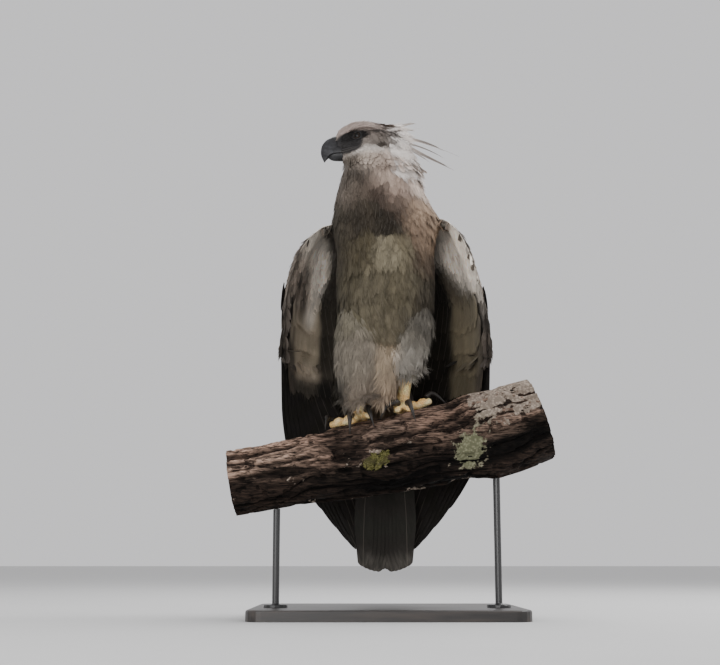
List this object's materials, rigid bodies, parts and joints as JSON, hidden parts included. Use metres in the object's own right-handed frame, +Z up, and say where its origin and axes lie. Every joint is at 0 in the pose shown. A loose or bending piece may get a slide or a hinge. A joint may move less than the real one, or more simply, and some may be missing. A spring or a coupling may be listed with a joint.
{
  "type": "harpy eagle model on a branch perch",
  "caption": "Life-size still model of a young harpy eagle, head in profile with a ragged crest, gripping a cut length of branch held on a plain display stand.",
  "frame": {"origin": "on the underside of the stand's base, straight below the middle of the branch between the feet", "axes": "+Z up, -Y the way the bird's breast faces, +X the bird's left; the bill points to -X"},
  "size_m": [0.6147, 0.38, 0.9479],
  "materials": {
    "plumage_pale": "soft pale grey-buff feathers",
    "plumage_grey": "mottled brown-grey feathers",
    "plumage_dark": "blackish flight feathers with grey bars",
    "plumage_white": "fluffy off-white feathers",
    "bill": "slate-black horn, satin",
    "eye": "wet dark brown",
    "leg_skin": "yellow scaly skin",
    "claw": "grey-black horn, satin",
    "bark": "ridged dark bark with lichen and moss",
    "stand_base": "black-stained board, satin",
    "stand_rod": "black paint, satin"
  },
  "bodies": {
    "root": {"bill_lower": "bill", "bill_upper": "bill", "claw_left_hind": "claw", "claw_left_inner": "claw", "claw_left_middle": "claw", "claw_left_outer": "claw", "claw_right_hind": "claw", "claw_right_inner": "claw", "claw_right_middle": "claw", "claw_right_outer": "claw", "crest": "plumage_grey", "eye_left": "eye", "eye_right": "eye", "foot_left": "leg_skin", "foot_right": "leg_skin", "head": "plumage_pale", "neck": "plumage_pale", "perch": "bark", "stand_base": "stand_base", "stand_rod_left": "stand_rod", "stand_rod_right": "stand_rod", "tail": "plumage_grey", "tarsus_left": "leg_skin", "tarsus_right": "leg_skin", "thigh_left": "plumage_white", "thigh_right": "plumage_white", "trunk": "plumage_pale", "wing_left_coverts": "plumage_grey", "wing_left_flight_feathers": "plumage_dark", "wing_right_coverts": "plumage_grey", "wing_right_flight_feathers": "plumage_dark"}
  },
  "joints": []
}
